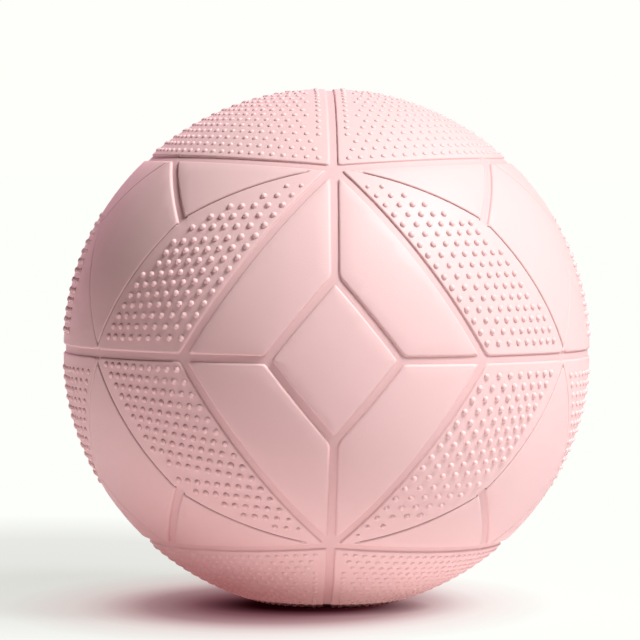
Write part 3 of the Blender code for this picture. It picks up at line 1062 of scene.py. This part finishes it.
def cap_dots(relief, pitch, step):
    """Directions of the dots on a quarter of a cap, in rows that follow its edge less and less."""
    dots = settings().dots
    size = relief.radius
    quarter = math.pi / 2
    top = relief.pattern.cap_lat
    result = []
    for row in range(math.floor((quarter - top) / step) - 1):
        lat = top + dots.cap_first + step * row
        ring = size * math.cos(lat)
        follow = max(0.0, 1 - row / CAP_FOLLOW_ROWS)
        first = dots.cap_column + CAP_START + dots.cap_drift * row
        has_column = row >= CAP_COLUMN_ROW
        while has_column and first - dots.cap_column > pitch * CAP_WIDEST_START:
            first -= pitch
        lons = []
        if has_column and dots.cap_column < ring:
            lons.append([math.asin(dots.cap_column / ring)])
        if first < ring * CAP_ROW_SHARE:
            start = math.asin(first / ring)
            lons.append(start + mirrored_places(quarter - start, pitch / ring))
        for lon in lons:
            dip = top - relief.cap_latitude(np.asarray(lon))
            result.append(direction(lon, lat - dip * follow))
    return np.vstack(result)


def dot_points(name, relief, sets, reach, height):
    """Points mesh with a place, an outward direction and a size for each dot."""
    shape = settings().shape
    places, ways, sizes = [], [], []
    for signs, points in sets:
        sizes.append(tip_share(relief, points) if name == "leaf_dots" else np.ones(len(points)))
        depth = relief.panel_recess(points)
        way = points * signs / np.array([1, 1, shape.height_ratio])
        places.append(place_on_ball(points * signs, depth))
        ways.append(unit(way))
    places, ways = np.vstack(places), np.vstack(ways)
    tips = places[:, 2] + ways[:, 2] * height
    foot = places[:, 2] - reach
    above = (tips > LEAST_TIP_HEIGHT) & (foot > 0.0)
    mesh = bpy.data.meshes.new(name)
    mesh.from_pydata(places[above].tolist(), [], [])
    outward = mesh.attributes.new("outward", "FLOAT_VECTOR", "POINT")
    outward.data.foreach_set("vector", ways[above].ravel())
    size = mesh.attributes.new("size", "FLOAT", "POINT")
    size.data.foreach_set("value", np.concatenate(sizes)[above])
    return mesh


def dot_tree():
    """Geometry nodes that stand a dome on every point."""
    tree = bpy.data.node_groups.new("grip_dots", "GeometryNodeTree")
    face = tree.interface
    face.new_socket("Geometry", in_out="INPUT", socket_type="NodeSocketGeometry")
    for label, kind in (
        ("Dot Radius", "NodeSocketFloat"),
        ("Dot Height", "NodeSocketFloat"),
        ("Dot Seat", "NodeSocketFloat"),
        ("Dot Sides", "NodeSocketInt"),
        ("Dot Rings", "NodeSocketInt"),
        ("Dot Material", "NodeSocketMaterial"),
    ):
        face.new_socket(label, in_out="INPUT", socket_type=kind)
    face.new_socket("Geometry", in_out="OUTPUT", socket_type="NodeSocketGeometry")

    def node(kind, sockets=None, **values):
        return new_node(tree, kind, sockets, **values)

    def worked_out(operation, *values):
        return node("ShaderNodeMath", dict(enumerate(values)), operation=operation).outputs[0]

    def attribute(name, kind):
        found = node("GeometryNodeInputNamedAttribute", {"Name": name}, data_type=kind)
        return found.outputs["Attribute"]

    given = node("NodeGroupInput").outputs
    tall = worked_out("ADD", given["Dot Height"], given["Dot Seat"])
    sizes = {
        "Vertices": given["Dot Sides"],
        "Side Segments": given["Dot Rings"],
        "Radius Top": 0,
        "Radius Bottom": given["Dot Radius"],
        "Depth": tall,
    }
    cone = node("GeometryNodeMeshCone", sizes, fill_type="NGON").outputs["Mesh"]

    part = node("ShaderNodeSeparateXYZ", {0: node("GeometryNodeInputPosition").outputs[0]}).outputs
    level = worked_out("DIVIDE", part["Z"], tall)
    lean = worked_out("MULTIPLY", level, math.pi / 2)
    never_zero = 0.001
    narrowing = worked_out("MAXIMUM", worked_out("SUBTRACT", 1.0, level), never_zero)
    spread = worked_out("DIVIDE", worked_out("COSINE", lean), narrowing)
    risen = worked_out("MULTIPLY", worked_out("SINE", lean), tall)
    domed = {
        "X": worked_out("MULTIPLY", part["X"], spread),
        "Y": worked_out("MULTIPLY", part["Y"], spread),
        "Z": worked_out("SUBTRACT", risen, given["Dot Seat"]),
    }
    place = node("ShaderNodeCombineXYZ", domed).outputs[0]
    dome = node("GeometryNodeSetPosition", {"Geometry": cone, "Position": place}).outputs["Geometry"]

    outward = {"Vector": attribute("outward", "FLOAT_VECTOR")}
    turned = node("FunctionNodeAlignRotationToVector", outward, axis="Z").outputs["Rotation"]
    spans = {RANDOM_LEAST: DOT_SIZES[0], RANDOM_MOST: DOT_SIZES[1], "Seed": DOT_SEED}
    varied = node("FunctionNodeRandomValue", spans, data_type="FLOAT").outputs[RANDOM_RESULT]
    size = worked_out("MULTIPLY", attribute("size", "FLOAT"), varied)
    copies = {"Points": given["Geometry"], "Instance": dome, "Rotation": turned, "Scale": size}
    stood = node("GeometryNodeInstanceOnPoints", copies).outputs["Instances"]
    real = node("GeometryNodeRealizeInstances", {"Geometry": stood}).outputs["Geometry"]
    soft = node("GeometryNodeSetShadeSmooth", {"Geometry": real}).outputs["Geometry"]
    paint = {"Geometry": soft, "Material": given["Dot Material"]}
    painted = node("GeometryNodeSetMaterial", paint).outputs["Geometry"]
    node("NodeGroupOutput", {"Geometry": painted})
    return tree


def stand_dots(name, points, tree, size, height, paint):
    """Plain mesh object of the dots on a points mesh."""
    dots = settings().dots
    holder = new_object(name + "_points", points)
    modifier = holder.modifiers.new("dots", "NODES")
    modifier.node_group = tree
    values = {
        "Dot Radius": size,
        "Dot Height": height,
        "Dot Seat": dots.seat,
        "Dot Sides": dots.sides,
        "Dot Rings": dots.rings,
        "Dot Material": paint,
    }
    for socket in tree.interface.items_tree:
        if socket.in_out == "INPUT" and socket.name in values:
            modifier[socket.identifier] = values[socket.name]
    bpy.context.view_layer.update()
    evaluated = holder.evaluated_get(bpy.context.evaluated_depsgraph_get())
    mesh = bpy.data.meshes.new_from_object(evaluated)
    mesh.name = name
    holder.modifiers.remove(modifier)
    bpy.data.objects.remove(holder)
    return new_object(name, mesh)


# Materials


def new_material(name):
    """A node material, with its tree and its shader."""
    made = bpy.data.materials.new(name)
    made.use_nodes = True
    tree = made.node_tree
    return made, tree, tree.nodes["Principled BSDF"]


def noise(tree, scale, detail):
    """A noise texture on the object's own coordinates."""
    where = new_node(tree, "ShaderNodeTexCoord").outputs["Object"]
    sockets = {"Vector": where, "Scale": scale, "Detail": detail}
    return new_node(tree, "ShaderNodeTexNoise", sockets).outputs["Fac"]


def ranged(tree, value, low, high, new_low, new_high):
    """A value moved from one range to another."""
    sockets = {"Value": value, "From Min": low, "From Max": high, "To Min": new_low, "To Max": new_high}
    return new_node(tree, "ShaderNodeMapRange", sockets).outputs["Result"]


def mixed(tree, factor, a, b, blend="MIX"):
    """A mix of two colours, each a socket or a plain colour."""
    sockets = {MIX_FACTOR: factor, MIX_A: a, MIX_B: b}
    made = new_node(tree, "ShaderNodeMix", sockets, data_type="RGBA", blend_type=blend)
    return made.outputs[MIX_RESULT]


def multiplied(tree, a, b):
    """Two colours multiplied."""
    return mixed(tree, 1.0, a, b, "MULTIPLY")


def bumped(tree, value, distance):
    """A bump from a height."""
    sockets = {"Strength": 1.0, "Distance": distance, "Height": value}
    return new_node(tree, "ShaderNodeBump", sockets).outputs["Normal"]


def marked(tree, name, low, high):
    """How strongly an attribute marks the surface."""
    mark = new_node(tree, "ShaderNodeAttribute", attribute_name=name)
    return ranged(tree, mark.outputs["Fac"], low, high, 0.0, 1.0)


def moulded_plastic(name, pale, roughness):
    """Plastic with a fine grain, slow mottling, and painted shade in any channels and creases: deeper
    colours there.
    """
    f = settings().finish
    made, tree, shader = new_material(name)
    # Painted shade: darker colours in the channels and at the bottom of the creases, by their depth
    base = mixed(tree, marked(tree, "channel", *CHANNEL_SHADE_MARK), pale, f.channel)
    base = mixed(tree, marked(tree, "crease", *CREASE_SHADE_MARK), base, f.crease)
    slow = ranged(tree, noise(tree, MOTTLE_SCALE, MOTTLE_DETAIL), *NOISE_RANGE, 0.0, f.mottle)
    grain = noise(tree, 1 / f.grain, GRAIN_DETAIL)
    spread = [roughness + change for change in ROUGHNESS_SPREAD]
    looks = {
        "Base Color": mixed(tree, slow, base, [MOTTLE_SHADE * v for v in pale]),
        "Roughness": ranged(tree, grain, *NOISE_RANGE, *spread),
        "Normal": bumped(tree, grain, f.grain_depth),
        "IOR": PLASTIC_IOR,
        "Specular IOR Level": PLASTIC_SPECULAR,
    }
    for label, value in looks.items():
        feed(tree, shader.inputs[label], value)
    return made


# Stage


def glowing(tree, tint, strength):
    """A shader that gives off light."""
    return new_node(tree, "ShaderNodeEmission", {"Color": tint, "Strength": strength}).outputs[0]


def matte(tree, tint):
    """A plain shader without a shine."""
    return new_node(tree, "ShaderNodeBsdfDiffuse", {"Color": tint}).outputs[0]


def added(tree, a, b):
    """Two shaders together."""
    return new_node(tree, "ShaderNodeAddShader", {0: a, 1: b}).outputs[0]


def shown_rays(tree):
    """1 for rays that show a surface in the picture, 0 for those that only light the ball."""
    return new_node(tree, "ShaderNodeLightPath").outputs["Is Camera Ray"]


def soft_shade(tree, middle, size, turn, stops):
    """Colour of a soft oval shade on the floor, by the share of the way from its middle to its edge."""
    oval = {
        "Vector": new_node(tree, "ShaderNodeTexCoord").outputs["Object"],
        "Location": (*middle, 0),
        "Rotation": (0, 0, math.radians(turn)),
        "Scale": (*size, 1),
    }
    spread = new_node(tree, "ShaderNodeMapping", oval, vector_type="TEXTURE").outputs[0]
    way_out = new_node(tree, "ShaderNodeVectorMath", {0: spread}, operation="LENGTH").outputs["Value"]
    ramp = new_node(tree, "ShaderNodeValToRGB", {"Fac": way_out})
    elements = ramp.color_ramp.elements
    while len(elements) < len(stops):
        elements.new(1.0)
    for element, (place, tint) in zip(elements, stops):
        element.position = place
        element.color = (*tint, 1.0)
    return ramp.outputs["Color"]


def show(tree, shader):
    """Make a shader the surface of its material."""
    feed(tree, tree.nodes["Material Output"].inputs["Surface"], shader)


def disc(name, reach, height, material):
    """A flat round sheet that faces up."""
    bm = bmesh.new()
    made = bmesh.ops.create_circle(bm, cap_ends=True, radius=reach, segments=DISC_SIDES)
    for vert in made["verts"]:
        vert.co.z = height
    bm.normal_update()
    bmesh.ops.reverse_faces(bm, faces=[f for f in bm.faces if f.normal.z < 0])
    mesh = bpy.data.meshes.new(name)
    bm.to_mesh(mesh)
    bm.free()
    mesh.materials.append(material)
    return new_object(name, mesh)


def floor():
    """A wide floor, pale in the picture, with a soft deep pink shade where the ball meets it."""
    stage = settings().stage
    made, tree, shader = new_material("floor_paper")
    tree.nodes.remove(shader)
    shade = stage.floor_seen
    for layer in FLOOR_SHADES:
        shade = multiplied(tree, shade, soft_shade(tree, *layer))
    lit = matte(tree, multiplied(tree, shade, [stage.floor_lit] * 3))
    seen = added(tree, glowing(tree, shade, stage.floor_glow), lit)
    sockets = {0: shown_rays(tree), 1: matte(tree, stage.floor), 2: seen}
    show(tree, new_node(tree, "ShaderNodeMixShader", sockets).outputs[0])
    return disc("floor", FLOOR_RADIUS, 0.0, made)


def bounce_card():
    """An unseen round card on the floor that throws light up at the ball, less on its shaded side."""
    stage = settings().stage
    made, tree, shader = new_material("bounce_card")
    tree.nodes.remove(shader)
    under = new_node(tree, "ShaderNodeNewGeometry").outputs["Backfacing"]
    strength = ranged(tree, under, 0.0, 1.0, stage.card, 0.0)
    glow = glowing(tree, multiplied(tree, soft_shade(tree, *CARD_SHADE), stage.card_tint), strength)
    clear = new_node(tree, "ShaderNodeBsdfTransparent").outputs[0]
    show(tree, added(tree, glow, clear))
    card = disc("bounce_card", CARD_RADIUS, CARD_LIFT, made)
    card.visible_camera = False
    card.visible_shadow = False
    return card


def surroundings():
    """Faint even light from all round, which the camera sees as a white backdrop."""
    stage = settings().stage
    world = bpy.data.worlds.new("studio")
    world.use_nodes = True
    tree = world.node_tree
    colours = mixed(tree, shown_rays(tree), stage.ambient, stage.floor_seen)
    feed(tree, tree.nodes["Background"].inputs["Color"], colours)
    return world


def new_lamp(name, kind, energy, tint):
    """A lamp at the origin of the scene."""
    light = bpy.data.lights.new(name, kind)
    light.energy = energy
    light.color = tint
    return new_object(name, light)


def bounce_lamp(name, place, size, glow, tint):
    """A soft round lamp on the floor by the ball, which lights it from below and isn't seen."""
    energy = glow * math.pi * math.pi * (size / 2) ** 2  # as bright as a glowing disc
    made = new_lamp(name, "AREA", energy, tint)
    made.data.shape = "DISK"
    made.data.size = size
    made.location = (*place, CARD_LIFT)
    made.rotation_euler = (math.pi, 0, 0)
    made.visible_camera = False


def way_to(lon, lat):
    """Direction in the scene, from angles round from the front to the right and up."""
    return Vector(direction(lon, lat) * (1, -1, 1))


def sun_lamp(name, strength, tint, lon, lat, spread):
    """A distant lamp with a soft edge."""
    made = new_lamp(name, "SUN", strength, tint)
    made.data.angle = spread
    made.rotation_euler = (-way_to(lon, lat)).to_track_quat("-Z", "Y").to_euler()


def camera():
    """Camera at the photograph's angle, aimed so that the ball sits where it does there."""
    stage = settings().stage
    lens = bpy.data.cameras.new("camera")
    lens.lens = stage.view_focal
    lens.sensor_width = SENSOR_WIDTH
    made = new_object("camera", lens)
    middle = Vector((0, 0, centre_height()))
    way = way_to(stage.view_lon, stage.view_lat)
    made.location = middle + way * stage.view_distance
    aim = (-way).to_track_quat("-Z", "Y")
    field = SENSOR_WIDTH / stage.view_focal * stage.view_distance
    shift = aim @ Vector((-stage.view_right * field, stage.view_down * field, 0))
    turned = (middle + shift - made.location).to_track_quat("-Z", "Y")
    made.rotation_euler = (turned @ Quaternion((0, 0, 1), stage.view_roll)).to_euler()
    return made


# Operators


class MouldSkin(bpy.types.Operator):
    """Mould the hollow skin with its channels, creases and recessed panels"""

    bl_idname = "pilates_ball.mould_skin"
    bl_label = "Mould skin"

    def execute(self, context):
        made = new_object("skin", skin_mesh())
        f = settings().finish
        made.data.materials.append(moulded_plastic("skin_pvc_soft", f.skin, f.skin_roughness))
        finish_piece(made, "ball", "skin", "ball_skin")
        return {"FINISHED"}


class StandDots(bpy.types.Operator):
    """Stand the grip dots on the leaf, side and cap panels"""

    bl_idname = "pilates_ball.stand_dots"
    bl_label = "Stand grip dots"

    def execute(self, context):
        relief = Relief()
        dots = settings().dots
        leaves = {signs: leaf_dots(relief, signs) for signs in LEAF_ROWS}
        sides = {1: side_dots(relief, True), -1: side_dots(relief, False)}
        caps = {
            1: cap_dots(relief, dots.cap_pitch, dots.cap_step),
            -1: cap_dots(relief, dots.foot_pitch, dots.foot_step),
        }
        groups = {
            "leaf_dots": ([(s, leaves[s[0], s[2]]) for s in OCTANTS], dots.leaf_radius, dots.leaf_height),
            "side_dots": ([(s, sides[s[2]]) for s in OCTANTS], dots.side_radius, dots.side_height),
            "cap_dots": ([(s, caps[s[2]]) for s in OCTANTS], dots.cap_radius, dots.cap_height),
        }
        tree = dot_tree()
        f = settings().finish
        # The dots' paler pink is painted light
        paint = moulded_plastic("dot_pvc_soft", f.dots, f.skin_roughness)
        for name, (sets, size, height) in groups.items():
            points = dot_points(name, relief, sets, size, height)
            finish_piece(stand_dots(name, points, tree, size, height, paint), "ball", "skin")
        return {"FINISHED"}


class FitValve(bpy.types.Operator):
    """Fit the valve insert in the back diamond"""

    bl_idname = "pilates_ball.fit_valve"
    bl_label = "Fit valve"

    def execute(self, context):
        made = new_object("valve", turned_mesh("valve", valve_profile(), closed=True))
        f = settings().finish
        made.data.materials.append(moulded_plastic("valve_pvc_satin", f.valve, f.valve_roughness))
        finish_piece(made, "ball", "valve", "valve_insert")
        return {"FINISHED"}


class FitStopper(bpy.types.Operator):
    """Fit the push-in stopper in the valve"""

    bl_idname = "pilates_ball.fit_stopper"
    bl_label = "Fit stopper"

    def execute(self, context):
        made = new_object("stopper", turned_mesh("stopper", stopper_profile(), closed=False))
        f = settings().finish
        made.data.materials.append(moulded_plastic("stopper_plastic", f.stopper, f.stopper_roughness))
        finish_piece(made, "stopper", "plug", "stopper_plug")
        return {"FINISHED"}


class SetStage(bpy.types.Operator):
    """Set the pale floor, the light and the camera"""

    bl_idname = "pilates_ball.set_stage"
    bl_label = "Set stage"

    def execute(self, context):
        scene = context.scene
        scene.view_settings.view_transform = "Standard"
        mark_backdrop(floor(), bounce_card())
        scene.world = surroundings()
        s = settings().stage
        sun_lamp("key", s.key, s.key_tint, s.key_lon, s.key_lat, s.key_spread)
        sun_lamp("rim", s.rim, s.rim_tint, s.rim_lon, s.rim_lat, s.rim_spread)
        for lamp in BOUNCES:
            bounce_lamp(*lamp)
        scene.camera = camera()
        return {"FINISHED"}


class BallPanel(bpy.types.Panel):
    """Sidebar panel that lists the steps and the settings"""

    bl_idname = "VIEW3D_PT_pilates_ball"
    bl_label = "Pilates ball"
    bl_space_type = "VIEW_3D"
    bl_region_type = "UI"
    bl_category = "Pilates ball"

    def draw(self, context):
        for step in STEPS:
            self.layout.operator(step.bl_idname)
        ball = context.scene.pilates_ball
        for part in PilatesBall.__annotations__:
            group = getattr(ball, part)
            column = self.layout.column(heading=group.bl_rna.description)
            for name in group.bl_rna.properties.keys():
                if name not in ("rna_type", "name"):
                    column.prop(group, name)


GROUPS = (
    BallShape,
    BallPattern,
    BallGrooves,
    GripDots,
    ValveFit,
    StopperFit,
    BallFinish,
    BallStage,
    PilatesBall,
)
STEPS = (MouldSkin, StandDots, FitValve, FitStopper, SetStage)


def register():
    """Register the settings, steps and panel."""
    for made in GROUPS + STEPS + (BallPanel,):
        bpy.utils.register_class(made)
    bpy.types.Scene.pilates_ball = PointerProperty(type=PilatesBall)


def unregister():
    """Remove the settings, steps and panel."""
    del bpy.types.Scene.pilates_ball
    for made in reversed(GROUPS + STEPS + (BallPanel,)):
        bpy.utils.unregister_class(made)


def main():
    """Make the ball and its stage."""
    register()
    bpy.ops.pilates_ball.mould_skin()
    bpy.ops.pilates_ball.stand_dots()
    bpy.ops.pilates_ball.fit_valve()
    bpy.ops.pilates_ball.fit_stopper()
    bpy.ops.pilates_ball.set_stage()
    boxes = {"cad": CAD_BOX, "visual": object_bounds()}
    {name: [list(corner) for corner in box] for name, box in boxes.items()}


if __name__ == "__main__":
    main()
